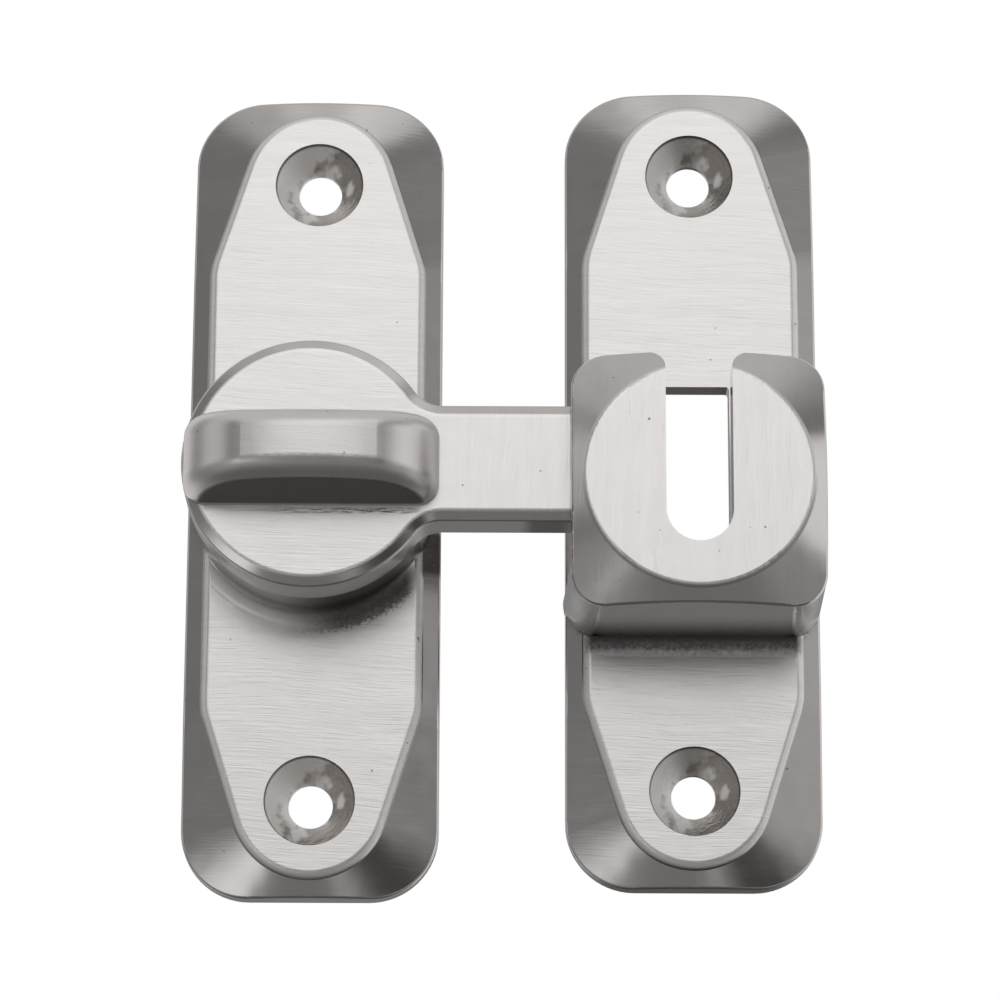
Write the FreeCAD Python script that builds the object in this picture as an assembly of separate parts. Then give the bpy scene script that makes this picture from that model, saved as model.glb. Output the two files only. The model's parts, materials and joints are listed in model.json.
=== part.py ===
import FreeCAD, Part
import math
import os

# Toggle bolt latch: a latch plate that carries a swinging arm with a thumb-turn, and a
# keeper plate with a hooked pocket that the arm drops into.  Everything is in millimetres.
# +X points from the latch to the keeper, +Z up, and the front faces -Y, so a height h above
# the back faces lies at y = -h.  The origin is midway between the latch plate's screw holes,
# on its back face.  The latch is drawn locked, with the arm level.

# ---- Driving dimensions -----------------------------------------------------------------

# Both base plates
plate_width = 30.5
plate_length = 100.0
plate_corner_radius = 8.2
foot_height = 3.8           # where the sloping skirt meets the raised pad
skirt_pitch = math.radians(16.0)
skirt_reach = 8.0           # drawn out this far from the pad, past the plate's corners
pad_height = 4.6            # flat face of the pad
pad_half_width = 13.3
pad_end_radius = 9.45       # round end, centred on the screw hole
pad_shoulder_radius = 8.3
pad_taper = math.radians(17.4)
pad_edge_radius = 1.1
rim_edge_radius = 0.35      # where the skirt meets the side wall
recess_depth = 1.4          # the castings are relieved at the back
recess_half_width = 11.0
recess_half_length = 27.0
recess_corner_radius = 5.0

# Wood-screw holes
screw_pitch = 77.2
screw_hole_radius = 2.65
screw_land = 0.8            # straight part of the hole, at the back
countersink_radius = 5.4
countersink_lip = 0.35      # straight part of the countersink, at the front

# Swing arm: disc, arm, thumb grip and spindle in one casting
pivot_z = -1.0
arm_back = 12.6
arm_thickness = 5.8
disc_radius = 15.1
arm_half_width = 7.06
arm_reach = 40.8            # pivot to tip
arm_root_radius = 4.0       # concave blend between disc and arm
arm_tip_radius = 3.0
face_bevel_width = 1.3
face_bevel_drop = 0.45
face_bevel_round = 1.2      # softens the bevel's upper edge
arm_edge_radius = 0.3
swing_range = 90.0

# Thumb grip, a half-moon blade across the disc
grip_offset = 0.25
grip_half_length = 15.0
grip_rise = 9.2             # crest above the disc
grip_shoulder_radius = 8.6
grip_crest_radius = 46.0
grip_half_foot = 5.4
grip_draft = math.radians(9.6)
grip_edge_radius = 2.6
grip_sink = 1.2             # how far the blade runs into the disc

# Boss and pivot
boss_radius = 14.8
boss_front = 12.0
boss_blend = 2.3
bush_outer_radius = 5.5
spindle_radius = 4.0
spindle_clearance = 0.05
spindle_end = 4.0
counterbore_radius = 8.2
counterbore_front = 5.0
friction_washer_outer = 8.4
friction_washer_thickness = 0.5
retaining_washer_radius = 7.2
retaining_washer_thickness = 1.0
washer_clearance = 0.2
disc_spring_radius = 7.0
disc_spring_thickness = 0.4
disc_spring_rise = 0.5      # how far the cone lifts its outer edge

# Pivot screw, M4 pan head
screw_thread_radius = 2.0
screw_thread_length = 7.2
screw_head_radius = 3.6
screw_head_height = 1.8
screw_head_round = 0.9
cross_slot_length = 3.8
cross_slot_width = 0.9
cross_slot_depth = 1.0
tapped_hole_radius = 2.05
tapped_hole_depth = 7.6

# Stop pin and the groove that rides over it
stop_radius = 10.6
stop_pin_radius = 1.5
stop_pin_back = 7.5
stop_pin_front = 14.3
stop_pin_chamfer = 0.3
stop_groove_half_width = 1.8
stop_groove_depth = 2.1
stop_angle = 270.0          # the pin stands straight below the pivot

# Keeper
keeper_x = 45.5
keeper_z = 1.3
hook_centre = -5.1          # from the keeper plate's centre, along Z
hook_half_width = 14.85
hook_half_height = 15.2
hook_corner_radius = 4.0
hook_front = 23.8
hook_inner = 19.0           # inner face of the front wall
hook_edge_radius = 0.4
hook_face_radius = 13.26    # flat round face
hook_face_round = 1.0        # softens the face's edge
hook_cone = math.radians(27.0)
hook_shelf = 5.5            # thickness of the wall that joins it to the plate
hook_foot_half_width = 15.5  # that wall widens towards the plate
hook_foot_corner_radius = 5.2
hook_inner_radius = 2.0
shelf_blend = 2.0
slot_half_width = 3.9
slot_bottom = -13.2
slot_mouth_radius = 2.2
window_half_width = 4.6
window_bottom = -14.0
window_top = 11.4
window_corner_radius = 0.4
land_half_width = 15.4
land_top = 14.0
land_corner_radius = 2.5
land_edge_radius = 0.5

# ---- Helpers ----------------------------------------------------------------------------

out_of_face = FreeCAD.Vector(0, -1, 0)
overrun = 1.0               # cutters run past the metal by this much


def at(x, z, h):
    """The point at x, z and the height h in front of the back face."""
    return FreeCAD.Vector(x, -h, z)


def cylinder(radius, low, high, x=0.0, z=0.0):
    return Part.makeCylinder(radius, high - low, at(x, z, low), out_of_face)


def cone(low_radius, high_radius, low, high, x=0.0, z=0.0):
    return Part.makeCone(low_radius, high_radius, high - low, at(x, z, low), out_of_face)


def ring(outer, inner, low, high, x=0.0, z=0.0):
    bore = cylinder(inner, low - overrun, high + overrun, x, z)
    return cylinder(outer, low, high, x, z).cut(bore)


def arc(x, z, radius, start, end, h):
    """An arc about (x, z); the angles are in radians, from +X towards +Z."""
    turns = (start, (start + end) / 2, end)
    points = [at(x + radius * math.cos(t), z + radius * math.sin(t), h) for t in turns]
    return Part.Arc(*points).toShape()


def closed_wire(edges):
    return Part.Wire(Part.__sortEdges__(edges))


def prism(wire, height):
    return Part.Face(wire).extrude(out_of_face * height)


def rounded_rectangle(left, right, bottom, top, radius, h):
    corners = (
        (right - radius, top - radius, 0.0),
        (left + radius, top - radius, math.pi / 2),
        (left + radius, bottom + radius, math.pi),
        (right - radius, bottom + radius, 3 * math.pi / 2),
    )
    arcs = [arc(x, z, radius, start, start + math.pi / 2, h) for x, z, start in corners]
    sides = []
    for index, corner in enumerate(arcs):
        follower = arcs[(index + 1) % len(arcs)]
        sides.append(Part.makeLine(corner.lastVertex().Point, follower.firstVertex().Point))
    return closed_wire(arcs + sides)


def mirrored(shape, flip_x, flip_z):
    """A copy of the shape on the other side of the plate's centre lines."""
    origin = FreeCAD.Vector(0, 0, 0)
    if flip_x:
        shape = shape.mirror(origin, FreeCAD.Vector(1, 0, 0))
    if flip_z:
        shape = shape.mirror(origin, FreeCAD.Vector(0, 0, 1))
    return shape


def edges_at_height(shape, h):
    """The edges that lie wholly in the plane at height h."""
    found = []
    for edge in shape.Edges:
        box = edge.BoundBox
        if abs(box.YMin + h) < 1e-4 and abs(box.YMax + h) < 1e-4:
            found.append(edge)
    return found


# ---- Base plate -------------------------------------------------------------------------

screw_z = screw_pitch / 2
right_angle = math.pi / 2

# The shoulder arc touches the pad's straight side and its taper, which is itself tangent
# to the round end.
taper_reach = screw_z * math.sin(pad_taper) + pad_end_radius - pad_shoulder_radius
shoulder_x = pad_half_width - pad_shoulder_radius
shoulder_z = (taper_reach - shoulder_x * math.cos(pad_taper)) / math.sin(pad_taper)


def pad_quadrant(h, outset):
    """Shoulder arc, taper line and half of the round end, in the +X +Z quarter."""
    shoulder_radius = pad_shoulder_radius + outset
    shoulder = arc(shoulder_x, shoulder_z, shoulder_radius, 0.0, pad_taper, h)
    end = arc(0.0, screw_z, pad_end_radius + outset, pad_taper, right_angle, h)
    taper = Part.makeLine(shoulder.lastVertex().Point, end.firstVertex().Point)
    return [shoulder, taper, end]


def pad_outline(h, outset=0.0):
    """The pad's outline at height h, drawn outside or inside its wall by the outset."""
    edges = []
    for flip_x in (False, True):
        for flip_z in (False, True):
            edges += [mirrored(edge, flip_x, flip_z) for edge in pad_quadrant(h, outset)]
    side = pad_half_width + outset
    for x in (side, -side):
        edges.append(Part.makeLine(at(x, -shoulder_z, h), at(x, shoulder_z, h)))
    return closed_wire(edges)


def skirt_height(outset):
    return foot_height - outset * math.tan(skirt_pitch)


def skirt():
    """A slope of one pitch all round: flat beside the pad's straight edges, conical round its
    ends.  It starts inside the pad and runs on past the plate's side wall, which trims it."""
    low = skirt_height(skirt_reach)
    top = skirt_height(-pad_edge_radius)
    levels = [pad_outline(low, skirt_reach), pad_outline(top, -pad_edge_radius)]
    base = prism(pad_outline(0.0, skirt_reach), low)
    return base.fuse(Part.makeLoft(levels, True, True))


def plate_outline(h):
    half_width = plate_width / 2
    half_length = plate_length / 2
    return rounded_rectangle(
        -half_width, half_width, -half_length, half_length, plate_corner_radius, h
    )


def screw_cutter(z):
    """Clearance hole with a conical seat and a short straight lip for one wood screw."""
    lip_low = pad_height - countersink_lip
    hole = cylinder(screw_hole_radius, -overrun, screw_land, 0.0, z)
    seat = cone(screw_hole_radius, countersink_radius, screw_land, lip_low, 0.0, z)
    lip = cylinder(countersink_radius, lip_low, pad_height + overrun, 0.0, z)
    return hole.fuse([seat, lip])


def rim_edges(block):
    """The edges where the skirt meets the side wall."""
    outline = plate_outline(0.0)
    found = []
    for edge in block.Edges:
        middle = edge.valueAt((edge.FirstParameter + edge.LastParameter) / 2)
        shadow = Part.Vertex(middle.x, 0.0, middle.z)
        upright = edge.BoundBox.XLength + edge.BoundBox.ZLength < 1e-4
        in_front = middle.y < -overrun
        if in_front and not upright and shadow.distToShape(outline)[0] < 1e-4:
            found.append(edge)
    return found


def plate_blank():
    """Side wall, skirt and raised pad, with nothing cut yet."""
    block = prism(plate_outline(0.0), pad_height).common(skirt())
    block = block.makeFillet(rim_edge_radius, rim_edges(block))
    pad_depth = 2 * pad_edge_radius
    pad = prism(pad_outline(pad_height - pad_depth), pad_depth)
    pad = pad.makeFillet(pad_edge_radius, edges_at_height(pad, pad_height))
    return block.fuse(pad)


def back_recess():
    outline = rounded_rectangle(
        -recess_half_width, recess_half_width,
        -recess_half_length, recess_half_length,
        recess_corner_radius, -overrun,
    )
    return prism(outline, recess_depth + overrun)


def plate_cutters():
    return [back_recess(), screw_cutter(screw_z), screw_cutter(-screw_z)]


# ---- Latch plate ------------------------------------------------------------------------

def boss_flare():
    """Concave blend round the boss's foot, kept to the pad."""
    top = pad_height + boss_blend
    toe = boss_radius + boss_blend
    middle = math.radians(225.0)
    bulge_r = toe + boss_blend * math.cos(middle)
    bulge_h = top + boss_blend * math.sin(middle)
    blend = Part.Arc(
        at(boss_radius, 0.0, top), at(bulge_r, 0.0, bulge_h), at(toe, 0.0, pad_height)
    ).toShape()
    section = [
        blend,
        Part.makeLine(at(toe, 0.0, pad_height), at(toe, 0.0, foot_height)),
        Part.makeLine(at(toe, 0.0, foot_height), at(0.0, 0.0, foot_height)),
        Part.makeLine(at(0.0, 0.0, foot_height), at(0.0, 0.0, top)),
        Part.makeLine(at(0.0, 0.0, top), at(boss_radius, 0.0, top)),
    ]
    flare = Part.Face(closed_wire(section)).revolve(at(0, 0, 0), out_of_face, 360)
    flare.translate(at(0.0, pivot_z, 0.0))
    pad_column = prism(pad_outline(foot_height, -pad_edge_radius), top)
    return flare.common(pad_column)


def stop_pin_hole():
    return cylinder(stop_pin_radius, stop_pin_back, boss_front + overrun, *stop_pin_place())


def stop_pin_place():
    angle = math.radians(stop_angle)
    return stop_radius * math.cos(angle), pivot_z + stop_radius * math.sin(angle)


def latch_plate():
    boss = cylinder(boss_radius, recess_depth, boss_front, 0.0, pivot_z)
    body = plate_blank().fuse([boss, boss_flare()])
    cutters = plate_cutters() + [
        cylinder(counterbore_radius, -overrun, counterbore_front, 0.0, pivot_z),
        cylinder(bush_outer_radius, 0.0, boss_front + overrun, 0.0, pivot_z),
        stop_pin_hole(),
    ]
    return body.cut(cutters).removeSplitter()


# ---- Swing arm --------------------------------------------------------------------------

def arm_outline(inset, h):
    """Disc and arm in one line, drawn inside the full outline by the inset."""
    disc = disc_radius - inset
    half_width = arm_half_width - inset
    root = arm_root_radius + inset
    tip = arm_tip_radius - inset
    reach = arm_reach - inset
    root_z = half_width + root
    root_x = math.sqrt((disc + root) ** 2 - root_z ** 2)
    contact = math.atan2(root_z, root_x)
    tip_x = reach - tip
    tip_z = half_width - tip
    edges = [arc(0.0, 0.0, disc, contact, 2 * math.pi - contact, h)]
    edges.append(Part.makeLine(at(reach, -tip_z, h), at(reach, tip_z, h)))
    for side in (1, -1):
        edges.append(arc(root_x, side * root_z, root, -side * right_angle,
                         side * (contact - math.pi), h))
        edges.append(Part.makeLine(at(root_x, side * half_width, h),
                                   at(tip_x, side * half_width, h)))
        edges.append(arc(tip_x, side * tip_z, tip, 0.0, side * right_angle, h))
    return closed_wire(edges)


def grip():
    """Half-moon blade: flat drafted flanks, round ends and shoulders, a crowned crest."""
    face = arm_back + arm_thickness
    low = face - grip_sink
    top = face + grip_rise
    crest_centre = top - grip_crest_radius
    shoulder = grip_half_length - grip_shoulder_radius
    inner = grip_crest_radius - grip_shoulder_radius
    shoulder_h = crest_centre + math.sqrt(inner ** 2 - shoulder ** 2)
    meeting = math.asin(shoulder / inner)       # the shoulder and the crest share a tangent here
    middle = (right_angle + meeting) / 2
    meet_x = grip_crest_radius * math.sin(meeting)
    meet_h = crest_centre + grip_crest_radius * math.cos(meeting)
    edges = [
        Part.makeLine(at(grip_half_length, 0.0, low), at(-grip_half_length, 0.0, low)),
        Part.Arc(at(-meet_x, 0.0, meet_h), at(0.0, 0.0, top), at(meet_x, 0.0, meet_h)).toShape(),
    ]
    for side in (1, -1):
        end_x = side * grip_half_length
        edges.append(Part.makeLine(at(end_x, 0.0, low), at(end_x, 0.0, shoulder_h)))
        edges.append(Part.Arc(
            at(end_x, 0.0, shoulder_h),
            at(side * (shoulder + grip_shoulder_radius * math.sin(middle)), 0.0,
               shoulder_h + grip_shoulder_radius * math.cos(middle)),
            at(side * meet_x, 0.0, meet_h),
        ).toShape())
    outline = Part.Face(closed_wire(edges))
    outline.translate(at(0.0, -2 * grip_half_foot, 0.0))
    blade = outline.extrude(FreeCAD.Vector(0, 0, 4 * grip_half_foot))
    foot = grip_half_foot + grip_sink * math.tan(grip_draft)
    full_rise = grip_rise + overrun
    crest = grip_half_foot - full_rise * math.tan(grip_draft)
    section = Part.makePolygon([
        at(-2 * grip_half_length, -foot, low),
        at(-2 * grip_half_length, foot, low),
        at(-2 * grip_half_length, crest, face + full_rise),
        at(-2 * grip_half_length, -crest, face + full_rise),
        at(-2 * grip_half_length, -foot, low),
    ])
    wedge = Part.Face(section).extrude(FreeCAD.Vector(4 * grip_half_length, 0, 0))
    blade = blade.common(wedge)
    rims = []
    for edge in blade.Edges:
        box = edge.BoundBox
        on_base = box.YMin > -low - 1e-4
        across = box.ZMax - box.ZMin > grip_half_foot
        if not on_base and not across:
            rims.append(edge)
    blade = blade.makeFillet(grip_edge_radius, rims)
    blade.translate(at(grip_offset, 0.0, 0.0))
    return blade


def stop_groove():
    """Curved slot in the back of the disc; its ends meet the stop pin at both limits."""
    end = math.radians(stop_angle)
    start = end - math.radians(swing_range)
    inner = stop_radius - stop_groove_half_width
    outer = stop_radius + stop_groove_half_width
    h = arm_back - overrun
    edges = [
        arc(0.0, 0.0, inner, start, end, h),
        arc(0.0, 0.0, outer, start, end, h),
        arc(stop_radius * math.cos(start), stop_radius * math.sin(start),
            stop_groove_half_width, start, start - math.pi, h),
        arc(stop_radius * math.cos(end), stop_radius * math.sin(end),
            stop_groove_half_width, end, end + math.pi, h),
    ]
    return prism(closed_wire(edges), stop_groove_depth + overrun)


def swing_arm():
    face = arm_back + arm_thickness
    bevel_foot = face - face_bevel_drop
    body = prism(arm_outline(0.0, arm_back), bevel_foot - arm_back)
    outlines = [arm_outline(0.0, bevel_foot), arm_outline(face_bevel_width, face)]
    body = body.fuse(Part.makeLoft(outlines, True, True)).removeSplitter()
    for h, radius in (
        (face, face_bevel_round),
        (bevel_foot, arm_edge_radius),
        (arm_back, arm_edge_radius),
    ):
        body = body.makeFillet(radius, edges_at_height(body, h))
    spindle = cylinder(spindle_radius, spindle_end, arm_back + overrun)
    body = body.fuse([spindle, grip()])
    thread = cylinder(tapped_hole_radius, spindle_end - overrun, spindle_end + tapped_hole_depth)
    body = body.cut([stop_groove(), thread]).removeSplitter()
    body.translate(at(0.0, pivot_z, 0.0))
    return body


# ---- Pivot pieces -----------------------------------------------------------------------

def pivot_bush():
    bore = spindle_radius + spindle_clearance
    return ring(bush_outer_radius, bore, counterbore_front, boss_front, 0.0, pivot_z)


def friction_washer():
    front = boss_front + friction_washer_thickness
    return ring(friction_washer_outer, bush_outer_radius, boss_front, front, 0.0, pivot_z)


def stop_pin():
    pin = cylinder(stop_pin_radius, stop_pin_back, stop_pin_front, *stop_pin_place())
    return pin.makeChamfer(stop_pin_chamfer, edges_at_height(pin, stop_pin_front))


def disc_spring():
    """Conical spring washer; its outer edge presses on the web of the boss."""
    inner = spindle_radius + washer_clearance
    low = spindle_end
    section = Part.makePolygon([
        at(inner, 0.0, low),
        at(disc_spring_radius, 0.0, low + disc_spring_rise),
        at(disc_spring_radius, 0.0, low + disc_spring_rise + disc_spring_thickness),
        at(inner, 0.0, low + disc_spring_thickness),
        at(inner, 0.0, low),
    ])
    spring = Part.Face(section).revolve(at(0, 0, 0), out_of_face, 360)
    spring.translate(at(0.0, pivot_z, 0.0))
    return spring


def retaining_washer():
    back = spindle_end - retaining_washer_thickness
    hole = screw_thread_radius + washer_clearance
    return ring(retaining_washer_radius, hole, back, spindle_end, 0.0, pivot_z)


def pivot_screw():
    seat = spindle_end - retaining_washer_thickness
    back = seat - screw_head_height
    head = cylinder(screw_head_radius, back, seat)
    head = head.makeFillet(screw_head_round, edges_at_height(head, back))
    thread = cylinder(screw_thread_radius, seat, seat + screw_thread_length)
    screw = head.fuse(thread)
    half_length = cross_slot_length / 2
    half_width = cross_slot_width / 2
    for half_x, half_z in ((half_length, half_width), (half_width, half_length)):
        corner = at(-half_x, -half_z, back + cross_slot_depth)
        depth = cross_slot_depth + overrun
        screw = screw.cut(Part.makeBox(2 * half_x, depth, 2 * half_z, corner))
    screw.translate(at(0.0, pivot_z, 0.0))
    return screw


# ---- Keeper plate -----------------------------------------------------------------------

def hook_outline(half_width, top, radius, h):
    bottom = hook_centre - hook_half_height
    return rounded_rectangle(-half_width, half_width, bottom, top, radius, h)


def front_wall():
    """Square wall with a flat round face; outside the circle it falls away as a cone."""
    top = hook_centre + hook_half_height
    outline = hook_outline(hook_half_width, top, hook_corner_radius, hook_inner)
    slab = prism(outline, hook_front - hook_inner)
    spread = (hook_front - hook_inner) / math.tan(hook_cone)
    dome = cone(hook_face_radius + spread, hook_face_radius,
                hook_inner, hook_front, 0.0, hook_centre)
    dome = dome.makeFillet(hook_face_round, edges_at_height(dome, hook_front))
    return slab.common(dome)


def shelf():
    """Lower wall of the pocket, from the plate to the front wall, with round corners."""
    bottom = hook_centre - hook_half_height
    ceiling = bottom + hook_shelf
    top = ceiling + 2 * hook_corner_radius
    foot = hook_outline(hook_foot_half_width, top, hook_foot_corner_radius, recess_depth)
    head = hook_outline(hook_half_width, top, hook_corner_radius, hook_inner)
    column = Part.makeLoft([foot, head], True, True)
    keep = Part.makeBox(4 * hook_half_width, 2 * hook_front, hook_shelf,
                        at(-2 * hook_half_width, bottom, 1.5 * hook_front))
    return column.common(keep)


def inner_blend():
    """Fillet where the shelf meets the back of the front wall."""
    ceiling = hook_centre - hook_half_height + hook_shelf
    return corner_blend(hook_half_width, hook_inner_radius, ceiling, 1, hook_inner, -1)


def outer_blend():
    """Fillet where the underside of the shelf meets the pad."""
    bottom = hook_centre - hook_half_height
    return corner_blend(pad_half_width - pad_edge_radius, shelf_blend, bottom, -1, pad_height, 1)


def corner_blend(half_length, radius, wall_z, z_way, floor_h, h_way):
    """Concave fillet along X in the corner of a wall at wall_z and a floor at floor_h."""
    far_z = wall_z + z_way * radius
    far_h = floor_h + h_way * radius
    reach = radius * (1 - math.sin(math.pi / 4))
    edges = [
        Part.Arc(
            at(-half_length, wall_z, far_h),
            at(-half_length, wall_z + z_way * reach, floor_h + h_way * reach),
            at(-half_length, far_z, floor_h),
        ).toShape(),
        Part.makeLine(at(-half_length, far_z, floor_h), at(-half_length, wall_z, floor_h)),
        Part.makeLine(at(-half_length, wall_z, floor_h), at(-half_length, wall_z, far_h)),
    ]
    return Part.Face(closed_wire(edges)).extrude(FreeCAD.Vector(2 * half_length, 0, 0))


def slot_cutter():
    """U-shaped slot, open at the top, with rounded ears at its mouth."""
    low = hook_inner - overrun
    depth = hook_front - low + overrun
    top = hook_centre + hook_half_height
    round_z = slot_bottom + slot_half_width
    mouth_x = slot_half_width + slot_mouth_radius
    mouth_z = top - slot_mouth_radius
    above = top + overrun
    edges = [arc(0.0, round_z, slot_half_width, math.pi, 2 * math.pi, low)]
    edges.append(Part.makeLine(at(-mouth_x, above, low), at(mouth_x, above, low)))
    for side in (1, -1):
        edges.append(Part.makeLine(at(side * slot_half_width, round_z, low),
                                   at(side * slot_half_width, mouth_z, low)))
        start = math.pi if side > 0 else 0.0
        edges.append(arc(side * mouth_x, mouth_z, slot_mouth_radius, start, right_angle, low))
        edges.append(Part.makeLine(at(side * mouth_x, top, low), at(side * mouth_x, above, low)))
    return prism(closed_wire(edges), depth)


def window_cutter():
    outline = rounded_rectangle(
        -window_half_width, window_half_width, window_bottom, window_top,
        window_corner_radius, -overrun,
    )
    return prism(outline, pad_height + 2 * overrun)


def land():
    """Full-width flat behind the front wall, level with the pad."""
    outline = rounded_rectangle(
        -land_half_width, land_half_width, hook_centre - hook_half_height + hook_shelf / 2,
        land_top, land_corner_radius, recess_depth,
    )
    block = prism(outline, pad_height - recess_depth)
    return block.makeFillet(land_edge_radius, edges_at_height(block, pad_height))


def keeper_plate():
    wall = front_wall()
    front_rim = [
        edge for edge in wall.Edges
        if edge.BoundBox.YMax < -hook_inner - hook_edge_radius
        and abs(edge.BoundBox.YMin + hook_front) > hook_edge_radius
    ]
    wall = wall.makeFillet(hook_edge_radius, front_rim)
    wall = wall.cut(slot_cutter())
    body = plate_blank().fuse([land(), shelf(), wall, inner_blend(), outer_blend()])
    body = body.cut(plate_cutters() + [window_cutter()]).removeSplitter()
    body.translate(at(keeper_x, keeper_z, 0.0))
    return body


# ---- Export -----------------------------------------------------------------------------

makers = (
    latch_plate,
    swing_arm,
    pivot_bush,
    friction_washer,
    stop_pin,
    disc_spring,
    retaining_washer,
    pivot_screw,
    keeper_plate,
)

os.makedirs("parts", exist_ok=True)
for maker in makers:
    shape = maker()
    name = maker.__name__
    shape.exportStep("parts/" + name + ".step")
    print(name, "valid", shape.isValid(), "solids", len(shape.Solids), round(shape.Volume, 1))
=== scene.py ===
import json
import math

import bpy
from mathutils import Matrix, Vector


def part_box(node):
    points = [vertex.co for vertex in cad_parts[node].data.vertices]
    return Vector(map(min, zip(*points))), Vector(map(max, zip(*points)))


# Toggle bolt latch in satin nickel, photographed from slightly below against white.  The CAD
# nodes carry the shape; this script gives them their metals, the studio and the camera.

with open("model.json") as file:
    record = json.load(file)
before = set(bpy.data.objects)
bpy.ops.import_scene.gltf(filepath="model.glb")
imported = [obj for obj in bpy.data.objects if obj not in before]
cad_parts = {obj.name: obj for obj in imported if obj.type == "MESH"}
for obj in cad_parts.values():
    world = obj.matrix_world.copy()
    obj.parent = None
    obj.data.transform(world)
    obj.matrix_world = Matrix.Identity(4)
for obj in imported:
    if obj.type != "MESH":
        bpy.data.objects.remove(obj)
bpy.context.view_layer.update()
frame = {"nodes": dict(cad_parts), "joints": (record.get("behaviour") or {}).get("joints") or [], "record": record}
nodes = frame["nodes"]

mm = 0.001

# ---- Places taken from the CAD frame ----------------------------------------------------

keeper_low, keeper_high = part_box("keeper_plate")
pivot = Vector(next(j for j in frame["joints"] if j["type"] == "hinge")["pos_m"])

# The materials find their places in millimetres: x and z as in the frame, and y falling towards
# the viewer from 0 at the back face.
keeper_x = (keeper_low.x + keeper_high.x) / 2 / mm
hook_face = keeper_low.y / mm           # the round face of the keeper's front wall
pad_face = -4.6                         # the flat pads of both plates
arm_face = -18.4                        # the disc and the arm
boss_radius = 14.8
countersink_radius = 5.4


# ---- Node graph helper ------------------------------------------------------------------

class Graph:
    """Builds shader nodes with short calls; values and sockets can be mixed freely."""

    def __init__(self, tree):
        self.tree = tree
        self.tree.nodes.clear()

    def node(self, kind, **settings):
        made = self.tree.nodes.new("ShaderNode" + kind)
        for name, value in settings.items():
            setattr(made, name, value)
        return made

    def feed(self, socket, value):
        if isinstance(value, bpy.types.NodeSocket):
            self.tree.links.new(value, socket)
        else:
            socket.default_value = value

    def math(self, operation, *values, clamp=False):
        made = self.node("Math", operation=operation, use_clamp=clamp)
        for index, value in enumerate(values):
            self.feed(made.inputs[index], value)
        return made.outputs[0]

    def product(self, first, *others):
        for other in others:
            first = self.math("MULTIPLY", first, other)
        return first

    def step(self, value, low, high):
        """0 below low, 1 above high, and a smooth rise between.  With low above high it falls
        instead, from 1 below high to 0 above low."""
        made = self.node("MapRange", interpolation_type="SMOOTHSTEP")
        falling = low > high
        self.feed(made.inputs["Value"], value)
        made.inputs["From Min"].default_value = min(low, high)
        made.inputs["From Max"].default_value = max(low, high)
        made.inputs["To Min"].default_value = 1.0 if falling else 0.0
        made.inputs["To Max"].default_value = 0.0 if falling else 1.0
        return made.outputs["Result"]

    def band(self, value, start, full, fading, end):
        """Rises from 0 to 1 between start and full, and falls back to 0 from fading to end."""
        return self.product(self.step(value, start, full), self.step(value, end, fading))

    def span(self, value, low, high):
        """Maps 0..1 to low..high."""
        made = self.node("MapRange")
        self.feed(made.inputs["Value"], value)
        self.feed(made.inputs["To Min"], low)
        self.feed(made.inputs["To Max"], high)
        return made.outputs["Result"]

    def mix(self, factor, first, second):
        made = self.node("Mix", data_type="RGBA")
        self.feed(made.inputs[0], factor)
        self.feed(made.inputs[6], first)
        self.feed(made.inputs[7], second)
        return made.outputs[2]

    def blend(self, factor, first, second):
        made = self.node("Mix", data_type="FLOAT")
        self.feed(made.inputs[0], factor)
        self.feed(made.inputs[2], first)
        self.feed(made.inputs[3], second)
        return made.outputs[0]

    def vector(self, x, y, z):
        made = self.node("CombineXYZ")
        for index, value in enumerate((x, y, z)):
            self.feed(made.inputs[index], value)
        return made.outputs[0]

    def axes(self, vector):
        made = self.node("SeparateXYZ")
        self.feed(made.inputs[0], vector)
        return made.outputs[0], made.outputs[1], made.outputs[2]

    def noise(self, vector, scale=1.0, detail=2.0, roughness=0.5):
        made = self.node("TexNoise")
        self.feed(made.inputs["Vector"], vector)
        made.inputs["Scale"].default_value = scale
        made.inputs["Detail"].default_value = detail
        made.inputs["Roughness"].default_value = roughness
        return made.outputs["Fac"]

    def ragged(self, value, grit, amount):
        """The value with its contours broken up by a noise."""
        return self.math("MULTIPLY_ADD", self.math("SUBTRACT", grit, 0.5), amount, value)

    def bump(self, height, distance, normal=None):
        made = self.node("Bump")
        self.feed(made.inputs["Height"], height)
        made.inputs["Distance"].default_value = distance
        if normal is not None:
            self.feed(made.inputs["Normal"], normal)
        return made.outputs["Normal"]


def new_material(name):
    material = bpy.data.materials.new(name)
    material.use_nodes = True
    return material, Graph(material.node_tree)


def dress(node, material):
    slots = nodes[node].data.materials
    for index in range(len(slots)):
        slots[index] = material


def surface(graph, color, roughness, normal, metallic):
    """Ends a material in one shader."""
    shader = graph.node("BsdfPrincipled")
    shader.inputs["Metallic"].default_value = metallic
    graph.feed(shader.inputs["Base Color"], color)
    graph.feed(shader.inputs["Roughness"], roughness)
    graph.feed(shader.inputs["Normal"], normal)
    graph.feed(graph.node("OutputMaterial").inputs["Surface"], shader.outputs[0])


# ---- Satin nickel -----------------------------------------------------------------------

BRUSHED_DARK = (0.70, 0.68, 0.675, 1)
BRUSHED_LIGHT = (1.0, 0.985, 0.98, 1)
# Painted shade: the polished slopes are coloured darker than the brushed flats.
POLISHED_SHADED_DARK = (0.50, 0.48, 0.465, 1)
POLISHED_SHADED_LIGHT = (0.68, 0.66, 0.65, 1)
# Painted shade and painted light for the two sides of each countersink.
SEAT_SHADED = (0.46, 0.43, 0.40, 1)
SEAT_LIT = (1.0, 0.985, 0.97, 1)
# Painted shade in corners and under parts, and grime, are mixed towards this colour, as is the countersinks'
# painted shade ring.
SHADE_AND_GRIME = (0.06, 0.055, 0.05, 1)


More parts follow.
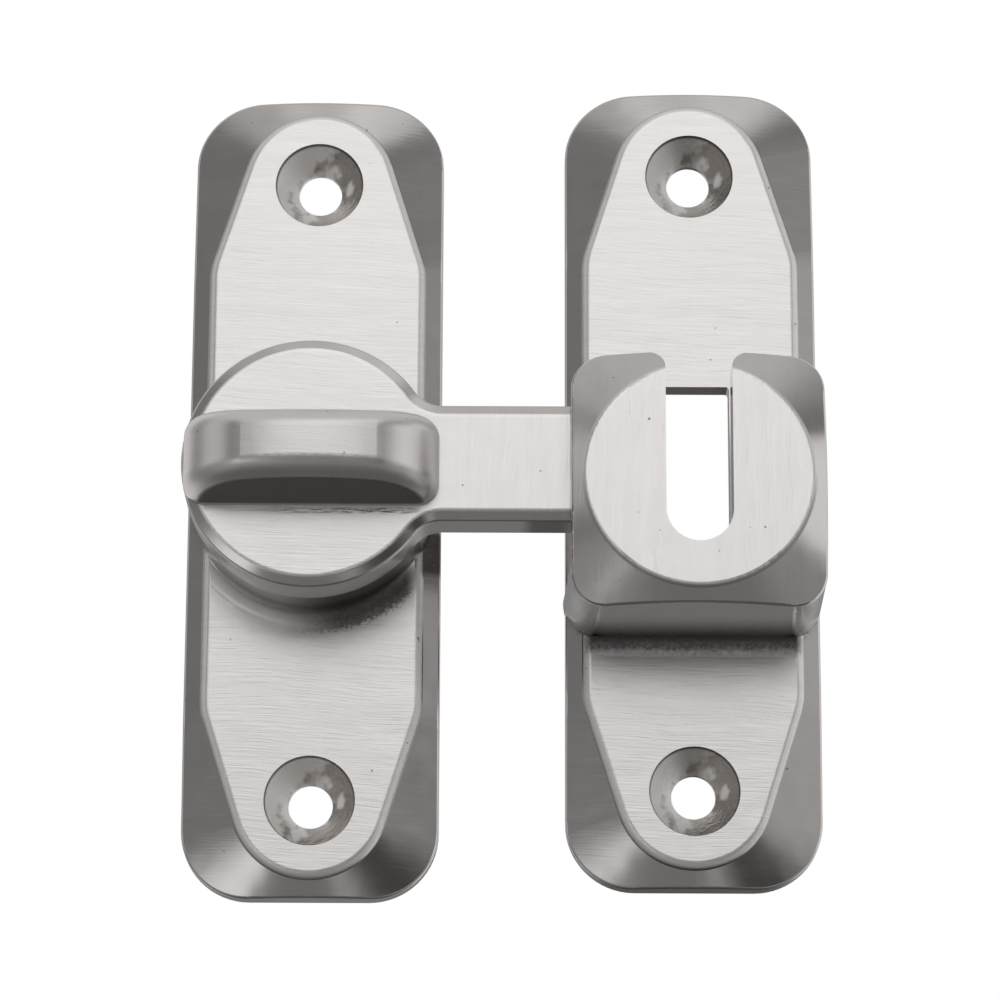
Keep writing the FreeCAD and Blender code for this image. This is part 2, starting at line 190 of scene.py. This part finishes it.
def millimetres(graph):
    """Object coordinates in millimetres, and the object-space normal, as single sockets."""
    place = graph.node("TexCoord")
    scaled = graph.node("VectorMath", operation="SCALE")
    graph.feed(scaled.inputs[0], place.outputs["Object"])
    scaled.inputs["Scale"].default_value = 1 / mm
    return graph.axes(scaled.outputs[0]), graph.axes(place.outputs["Normal"])


def from_axis(graph, across, up):
    """Distance from an axis along Y."""
    return graph.math("SQRT", graph.math("MULTIPLY_ADD", across, across, graph.product(up, up)))


def from_pivot(graph, x, z):
    across = graph.math("SUBTRACT", x, pivot.x / mm)
    up = graph.math("SUBTRACT", z, pivot.z / mm)
    return from_axis(graph, across, up)


def from_screw(graph, x, z, mount):
    """Offset from the nearer of a plate's two screw axes, along X and Z."""
    holes = next(m for m in frame["record"]["mounts"] if m["name"] == mount)
    half_pitch = holes["dims"]["spacing_y_mm"] / 2
    height = graph.math("SUBTRACT", z, holes["pos_m"][2] / mm)
    nearer = graph.product(graph.math("SIGN", height), half_pitch)
    across = graph.math("SUBTRACT", x, holes["pos_m"][0] / mm)
    return across, graph.math("SUBTRACT", height, nearer)


def brush_grain(graph, along, across, lean_rate, seed):
    """Streaks along one axis, leaning and wandering a little: broad tone, fine tone, scratches."""
    drift = graph.noise(graph.vector(graph.product(along, 0.05), graph.product(across, 0.05), seed),
                        detail=1.0)
    lean = graph.math("MULTIPLY_ADD", drift, 2.2, across)
    lean = graph.math("MULTIPLY_ADD", along, lean_rate, lean)
    layers = []
    for stretch, pitch, detail in ((0.05, 0.8, 3.0), (0.22, 6.5, 2.0), (0.18, 3.2, 1.0)):
        place = graph.vector(graph.product(along, stretch), graph.product(lean, pitch),
                             seed + 10.0 * pitch)
        layers.append(graph.noise(place, detail=detail, roughness=0.6))
    return layers


def brushed_tone(graph, broad, fine, marks):
    """Pale and streaky, with light and dark scratches."""
    grain = graph.math("ADD", graph.span(broad, -0.20, 0.20), graph.span(fine, -0.14, 0.14))
    grain = graph.math("MULTIPLY_ADD", graph.step(marks, 0.62, 0.76), 0.16, grain)
    grain = graph.math("MULTIPLY_ADD", graph.step(marks, 0.38, 0.26), -0.16, grain)
    level = graph.math("ADD", grain, 0.5, clamp=True)
    return graph.mix(level, BRUSHED_DARK, BRUSHED_LIGHT)


def crevice(graph, reach):
    """1 in tight corners and 0 in the open, from how much of the sky the metal sees."""
    made = graph.node("AmbientOcclusion", samples=6)
    made.inputs["Distance"].default_value = reach
    return graph.math("SUBTRACT", 1.0, made.outputs["AO"])


def painted_shade_pits_and_grime(graph, spot, corner_shade_bias, painted_shade_and_grime):
    """Painted shade in the corners, speckled like polishing compound, rare pinholes, and the painted shade and
    grime that each casting adds.
    """
    corner = graph.math("ADD", crevice(graph, 2.5 * mm), corner_shade_bias)
    speck = graph.noise(spot, 3.1, 3.0, 0.7)
    # Painted shade: darker where the AO measure finds a corner, broken up by speckles.
    corner_shade_and_compound = graph.step(graph.ragged(corner, speck, 0.8), 0.34, 0.62)
    pits = graph.step(graph.noise(spot, 1.7, 0.0), 0.872, 0.886)
    shade_pits_and_grime = graph.math("MAXIMUM", graph.product(corner_shade_and_compound, 0.85), graph.product(pits, 0.6))
    return graph.math("MAXIMUM", shade_pits_and_grime, painted_shade_and_grime)


def countersinks(graph, place, facing, screws):
    """Mask, colour and roughness of the countersinks: painted light on the side towards -X,
    painted shade in brown on the other side, and a painted shade ring under the lip."""
    x, y, z = place
    across, up = from_screw(graph, x, z, screws)
    away = from_axis(graph, across, up)
    inside = graph.step(away, countersink_radius + 0.20, countersink_radius + 0.05)
    below_pad = graph.step(y, pad_face + 0.02, pad_face + 0.10)
    seat = graph.product(inside, below_pad, graph.step(facing, -0.5, -0.2))
    patches = graph.noise(graph.vector(across, graph.product(y, 0.2), up), 0.42, 2.0, 0.6)
    side = graph.math("MULTIPLY_ADD", up, 0.05, graph.product(across, -0.13))
    # Painted light: the -X side of each countersink is lit and the other side shaded.
    lit_side = graph.step(graph.ragged(side, patches, 3.2), -0.30, 0.30)
    # Painted shade: a dark ring just under the lip.
    lip = graph.product(graph.step(away, countersink_radius - 0.28, countersink_radius - 0.04), 0.80)
    color = graph.mix(lip, graph.mix(lit_side, SEAT_SHADED, SEAT_LIT), SHADE_AND_GRIME)
    return seat, color, graph.span(lit_side, 0.26, 0.55)


def casting(name, brushed_face, upright_grain, wear, seed, screws=None):
    """Satin nickel on a zinc casting.  brushed_face(graph, y, facing) is 1 on the brushed flats
    and 0 where the metal is polished.  upright_grain(graph, x, y) is 1 where the brushing runs
    up and down, 0 where it runs sideways.  wear(graph, place, normal) gives a bias for the
    painted corner shade, a mask of painted shade and grime, and how hazy the polish is.  screws
    names the mount whose countersinks are in the casting."""
    material, graph = new_material(name)
    place, normal = millimetres(graph)
    x, y, z = place
    spot = graph.vector(x, y, z)
    facing = graph.product(normal[1], -1.0)
    flat = brushed_face(graph, y, facing)
    # wear gives the painted corner shade bias, the painted shade and grime, and the haze.
    corner_shade_bias, painted_shade_and_grime, haze = wear(graph, place, normal)

    upright = upright_grain(graph, x, y)
    side_grain = brush_grain(graph, x, z, 0.05, seed)
    up_grain = brush_grain(graph, z, x, 0.0, seed + 40.0)
    broad, fine, marks = [graph.blend(upright, s, u) for s, u in zip(side_grain, up_grain)]

    # The flats are brushed.  The slopes are polished, with cloudy patches and a trace of the
    # wheel, and their darker colour is painted shade.
    cloud = graph.noise(spot, 0.18, 3.0, 0.6)
    trace = graph.math("MULTIPLY_ADD", fine, 0.35, graph.product(broad, 0.25))
    dull = graph.math("MULTIPLY_ADD", cloud, 0.4, trace)
    polished = graph.mix(dull, POLISHED_SHADED_DARK, POLISHED_SHADED_LIGHT)
    metal = graph.mix(flat, polished, brushed_tone(graph, broad, fine, marks))

    # The flats' rounded edges are rubbed dull, and the back is left as cast.
    rubbed = graph.product(graph.step(facing, 0.99, 0.86), 0.28)
    rough_brushed = graph.math("ADD", graph.span(fine, 0.26, 0.36), rubbed)
    rough_polished = graph.math("ADD", graph.span(dull, 0.09, 0.22), haze)
    rough = graph.blend(flat, rough_polished, rough_brushed)
    rough = graph.blend(graph.step(facing, -0.5, -0.9), rough, graph.span(cloud, 0.36, 0.50))

    # The cast skin waves a little and the brush cuts furrows.
    cast_skin = graph.bump(graph.noise(spot, 0.22, 1.0, 0.5), 0.035 * mm)
    furrows = graph.product(graph.math("ADD", fine, marks), graph.blend(flat, 0.25, 1.0))
    skin = graph.bump(furrows, 0.012 * mm, cast_skin)

    if screws:
        seat, seat_color, seat_rough = countersinks(graph, place, facing, screws)
        metal = graph.mix(seat, metal, seat_color)
        rough = graph.blend(seat, rough, seat_rough)
        chatter = graph.product(graph.noise(spot, 1.1, 3.0, 0.6), seat)
        skin = graph.bump(chatter, 0.08 * mm, skin)

    # Painted shade, grime and pinholes take the colour towards the dark colour.
    shade_pits_and_grime = painted_shade_pits_and_grime(graph, spot, corner_shade_bias, painted_shade_and_grime)
    color = graph.mix(shade_pits_and_grime, metal, SHADE_AND_GRIME)
    surface(graph, color, graph.math("MULTIPLY_ADD", shade_pits_and_grime, 0.25, rough), skin, 1.0)
    return material


# ---- Where each casting is brushed, and which way ---------------------------------------

def latch_flats(graph, y, facing):
    """The pad, with its rounded edge."""
    height = graph.step(y, pad_face + 0.78, pad_face + 0.55)
    return graph.product(height, graph.step(facing, 0.35, 0.80))


def keeper_flats(graph, y, facing):
    """The pad, and the round face of the front wall."""
    pad = latch_flats(graph, y, facing)
    at_pad = graph.step(y, pad_face - 2.0, pad_face - 1.0)
    face = graph.step(y, hook_face + 0.24, hook_face)
    return graph.math("MULTIPLY_ADD", pad, at_pad, face)


def arm_flats(graph, y, facing):
    """The disc and the arm, and about a third as much the grip that stands on them."""
    at_face = graph.step(y, arm_face + 0.12, arm_face + 0.04)
    below_grip = graph.step(y, arm_face - 0.9, arm_face - 0.3)
    face = graph.product(at_face, below_grip, graph.step(facing, 0.90, 0.995))
    handled = graph.product(graph.math("SUBTRACT", at_face, below_grip, clamp=True), 0.35)
    return graph.math("MAXIMUM", face, handled)


def sideways(graph, x, y):
    return 0.0


def keeper_grain(graph, x, y):
    """The front wall is brushed up and down, the plate behind it sideways."""
    return graph.step(y, -18.0, -20.0)


def arm_grain(graph, x, y):
    """Past the disc the arm is brushed across its length."""
    return graph.step(x, 13.0, 19.0)


# ---- Where each casting has painted shade and grime -------------------------------------

def front_only(graph, y):
    """Keeps the painted shade off the back face."""
    return graph.step(y, -2.4, -3.0)


def grit(graph, place):
    return graph.noise(graph.vector(*place), 2.2, 4.0, 0.7)


def latch_shade(graph, place, normal):
    """Painted shadow blackens the foot of the boss on the lower right, and the skirt by the arm."""
    x, y, z = place
    grain = grit(graph, place)
    radius = from_pivot(graph, x, z)
    outer = graph.step(graph.ragged(radius, grain, 2.2), boss_radius + 2.7, boss_radius + 1.9)
    ring = graph.product(outer, graph.step(radius, boss_radius - 2.8, boss_radius - 1.8))
    lower_right = graph.product(graph.step(z, -7.0, -10.0), graph.band(x, -5.0, 4.0, 11.0, 12.8))
    foot = graph.product(ring, lower_right)
    skirt = graph.product(graph.band(z, -11.6, -10.2, -6.0, -5.0), graph.step(x, 12.6, 13.4))
    # Painted shadow on the boss foot and the skirt, broken up by a noise.
    painted_shade_and_grime = graph.product(graph.math("MAXIMUM", foot, skirt), graph.span(grain, 0.65, 1.0),
                          front_only(graph, y))
    return 0.0, painted_shade_and_grime, 0.0


def keeper_shade(graph, place, normal):
    """Painted shade darkens the underside of the box towards the plate, and the blend below it.
    A dark line is painted along the edge of the round face, on its lower part."""
    x, y, z = place
    grain = grit(graph, place)
    # Painted shade on the downward faces of the box, growing towards the plate.
    under = graph.step(normal[2], -0.60, -0.95)
    shade_under_box = graph.product(under, graph.step(y, -17.0, -6.5))

    # Painted shade in the blend below the box.
    below_box = graph.product(graph.step(graph.ragged(z, grain, 1.6), -21.4, -19.6),
                              graph.step(z, -18.2, -18.8))
    across = graph.math("ABSOLUTE", graph.math("SUBTRACT", x, keeper_x))
    near_plate = graph.product(graph.step(y, -10.0, -8.0), front_only(graph, y))
    blend = graph.product(below_box, graph.step(across, 13.4, 12.2), near_plate)

    painted_shade_and_grime = graph.product(graph.math("MAXIMUM", shade_under_box, blend), graph.span(grain, 0.40, 1.0))
    # A dark line along the lower edge of the round face.
    rim = graph.band(y, hook_face + 0.03, hook_face + 0.08, hook_face + 0.16, hook_face + 0.26)
    edge = graph.product(rim, graph.step(z, -2.0, -9.0), 0.50)
    return graph.product(shade_under_box, 0.30), graph.math("MAXIMUM", painted_shade_and_grime, edge), 0.0


def arm_shade_and_grime(graph, place, normal):
    """Painted shade makes the grip's underside nearly black, dark streaks are painted in a band
    below the grip, and painted shade with some grime darkens the arm's lower side where it
    enters the keeper.  The grip is hazy from handling."""
    x, y, z = place
    grip = graph.step(y, arm_face - 0.3, arm_face - 0.9)
    # Painted shade on the downward faces of the grip, and of the arm's lower side by the keeper, with some grime
    # there.
    down = graph.step(normal[2], -0.90, -0.97)
    underside_shade_and_grime = graph.product(down, graph.math("MAXIMUM", grip, graph.step(x, 24.5, 26.5)))
    streak_noise = graph.noise(graph.vector(graph.product(x, 0.6), graph.product(z, 4.5), 3.0),
                        detail=3.0, roughness=0.6)
    # Dark streaks painted in a band just below the grip.
    below_grip = graph.product(graph.band(z, -7.45, -7.1, -6.75, -6.5),
                               graph.band(x, -14.0, 9.0, 11.0, 13.5))
    streaks = graph.product(below_grip, graph.step(streak_noise, 0.45, 0.56))
    painted_shade_and_grime = graph.product(graph.math("MAXIMUM", underside_shade_and_grime, streaks), 0.72)
    less_corner_shade = -0.75          # the arm gets much less of the painted corner shade, so its corners stay bright
    return less_corner_shade, painted_shade_and_grime, graph.product(grip, 0.10)


# ---- The pieces inside ------------------------------------------------------------------

def plain_metal(name, dark, light, rough_low, rough_high, pitch):
    """Turned or stamped metal: lathe rings about the pivot at the pitch, and scuffs."""
    material, graph = new_material(name)
    (x, y, z), _ = millimetres(graph)
    radius = from_pivot(graph, x, z)
    rings = graph.noise(graph.vector(graph.product(radius, pitch), graph.product(y, pitch), 0.0))
    scuffs = graph.noise(graph.vector(x, y, z), 1.4, 4.0, 0.65)
    wear = graph.product(graph.math("ADD", rings, scuffs), 0.5)
    surface(graph, graph.mix(wear, dark, light), graph.span(wear, rough_low, rough_high),
            graph.bump(wear, 0.01 * mm), 1.0)
    return material


def nylon():
    material, graph = new_material("nylon")
    (x, y, z), _ = millimetres(graph)
    mottle = graph.noise(graph.vector(x, y, z), 2.0, 4.0, 0.6)
    surface(graph, graph.mix(mottle, (0.70, 0.69, 0.64, 1), (0.86, 0.85, 0.81, 1)),
            graph.span(mottle, 0.45, 0.6), graph.bump(mottle, 0.01 * mm), 0.0)
    return material


dress("latch_plate", casting("satin_nickel_latch", latch_flats, sideways, latch_shade, 1.0,
                             "latch_screw_holes"))
dress("keeper_plate", casting("satin_nickel_keeper", keeper_flats, keeper_grain, keeper_shade, 5.0,
                              "keeper_screw_holes"))
dress("swing_arm", casting("satin_nickel_arm", arm_flats, arm_grain, arm_shade_and_grime, 9.0))

zinc = plain_metal("zinc_plated_steel", (0.50, 0.51, 0.53, 1), (0.70, 0.71, 0.73, 1), 0.22, 0.40, 9.0)
brass = plain_metal("turned_brass", (0.62, 0.44, 0.18, 1), (0.84, 0.66, 0.34, 1), 0.18, 0.34, 9.0)
spring = plain_metal("spring_steel", (0.16, 0.16, 0.17, 1), (0.32, 0.32, 0.34, 1), 0.25, 0.40, 0.7)
for node in ("stop_pin", "retaining_washer", "pivot_screw"):
    dress(node, zinc)
dress("pivot_bush", brass)
dress("disc_spring", spring)
dress("friction_washer", nylon())


# ---- Studio -----------------------------------------------------------------------------

# Light boxes and cards round the latch, each laid over the ones above it.  Directions and
# softness are in degrees: azimuth 0 is straight in front of the latch, positive towards +X.
SURROUNDINGS = 0.23
STUDIO = (
    # left, right, bottom, top     softness of each       brightness
    ((-181, 181, -91, -46), (1, 1, 1, 8), 0.12),          # dark below
    ((-181, 181, 48, 91), (1, 1, 12, 1), 0.66),           # ceiling
    ((-90, -50, -4, 62), (8, 4, 8, 10), 0.66),            # wall of light on the left
    ((-62, -44, 33, 43), (4, 3, 3, 3), 0.40),             # card high on the left
    ((46, 80, -12, 31), (3, 8, 5, 2), 0.95),              # strip on the right
    ((80, 130, -40, 40), (6, 8, 8, 8), 0.90),             # box far round on the right
    ((31, 45, -8, 28), (5, 4, 4, 8), 0.54),               # its spill
    ((-35, 34, 38, 54), (3, 4, 2, 8), 0.56),              # card over the main box
    ((8, 34, 40, 52), (8, 4, 4, 6), 0.88),                # its brighter right half
    ((-20, 18, 8, 50), (4, 4, 2.5, 9), 1.10),             # main box, above the lens
    ((-70, -28, -50, -9), (12, 12, 10, 4), 0.34),         # low card on the left
    ((-34, -21, -24, -5), (5, 1.2, 3, 8), 1.15),          # low box on the left
    ((17, 29, -26, -2), (3, 3, 6, 5), 0.06),              # black flag low on the right
    ((7, 14, -22, -14), (1.5, 2, 3, 4), 0.48),            # small card beside the flag
    ((36, 64, -50, -14), (8, 12, 10, 5), 0.35),           # low card on the right
    ((-162, -120, -40, 60), (6, 8, 12, 12), 0.80),        # two boxes behind, for the back
    ((120, 162, -40, 60), (8, 6, 12, 12), 0.80),
)


def light_patch(graph, azimuth, elevation, sides, edges):
    """Mask of one box or card.  edges say how softly each of its sides ends."""
    left, right, bottom, top = sides
    soft_left, soft_right, soft_bottom, soft_top = edges
    across = graph.band(azimuth, left - soft_left, left + soft_left,
                        right - soft_right, right + soft_right)
    upward = graph.band(elevation, bottom - soft_bottom, bottom + soft_bottom,
                        top - soft_top, top + soft_top)
    return graph.product(across, upward)


def studio_world():
    world = bpy.data.worlds.new("studio")
    bpy.context.scene.world = world
    world.use_nodes = True
    graph = Graph(world.node_tree)
    x, y, z = graph.axes(graph.node("TexCoord").outputs["Generated"])
    azimuth = graph.math("DEGREES", graph.math("ARCTAN2", x, graph.product(y, -1.0)))
    elevation = graph.math("DEGREES", graph.math("ARCSINE", z))
    light = SURROUNDINGS
    for sides, edges, brightness in STUDIO:
        mask = light_patch(graph, azimuth, elevation, sides, edges)
        light = graph.blend(mask, light, brightness)
    background = graph.node("Background")
    background.inputs["Color"].default_value = (1.0, 0.99, 0.985, 1)
    graph.feed(background.inputs["Strength"], light)
    graph.feed(graph.node("OutputWorld").inputs["Surface"], background.outputs[0])


def seen_only_by_camera(piece):
    """A set piece that the lens sees but the metal doesn't reflect."""
    piece.visible_glossy = False
    piece.visible_diffuse = False
    piece.visible_transmission = False
    piece.visible_shadow = False


def white_sweep():
    """Pale floor that curves up into a white surround, in metres."""
    floor_z = -0.45
    radius = 3.0
    bend = 1.2
    wall_height = 3.0
    roof_height = 5.0
    bend_steps = 12
    turns = 64
    profile = [(0.0, floor_z), (radius - bend, floor_z)]
    for index in range(1, bend_steps + 1):
        t = math.radians(90 * index / bend_steps)
        profile.append((radius - bend + bend * math.sin(t), floor_z + bend - bend * math.cos(t)))
    profile.append((radius, floor_z + wall_height))
    profile.append((0.0, floor_z + roof_height))
    vertices = [(r * math.cos(2 * math.pi * k / turns), r * math.sin(2 * math.pi * k / turns), z)
                for r, z in profile for k in range(turns)]
    faces = []
    for ring in range(len(profile) - 1):
        a = ring * turns
        b = a + turns
        for k in range(turns):
            after = (k + 1) % turns
            faces.append((a + k, a + after, b + after, b + k))
    mesh = bpy.data.meshes.new("sweep")
    mesh.from_pydata(vertices, [], faces)
    mesh.shade_smooth()
    piece = bpy.data.objects.new("sweep", mesh)
    bpy.context.scene.collection.objects.link(piece)
    material, graph = new_material("white_sweep")
    glow = graph.node("Emission")
    glow.inputs["Color"].default_value = (1, 1, 1, 1)
    glow.inputs["Strength"].default_value = 1.0
    graph.feed(graph.node("OutputMaterial").inputs["Surface"], glow.outputs[0])
    mesh.materials.append(material)
    seen_only_by_camera(piece)


def camera():
    """Long lens in front of the latch and below it, looking up."""
    lens_place = Vector((0.02204, -0.47566, -0.13674))
    lens_length = 146.5
    pitch = math.radians(16.0)
    yaw = math.radians(0.04)
    roll = math.radians(0.22)
    forward = Vector((math.sin(yaw) * math.cos(pitch), math.cos(yaw) * math.cos(pitch), math.sin(pitch)))
    level = Vector((math.cos(yaw), -math.sin(yaw), 0))
    lift = level.cross(forward)
    right = math.cos(roll) * level + math.sin(roll) * lift
    up = math.cos(roll) * lift - math.sin(roll) * level
    data = bpy.data.cameras.new("camera")
    data.sensor_width = 36.0
    data.lens = lens_length
    data.clip_start = 0.01
    data.clip_end = 20.0
    piece = bpy.data.objects.new("camera", data)
    turn = Matrix((right, up, -forward)).transposed().to_4x4()
    piece.matrix_world = Matrix.Translation(lens_place) @ turn
    bpy.context.scene.collection.objects.link(piece)
    bpy.context.scene.camera = piece


studio_world()
white_sweep()
camera()
bpy.context.scene.view_settings.view_transform = "Standard"
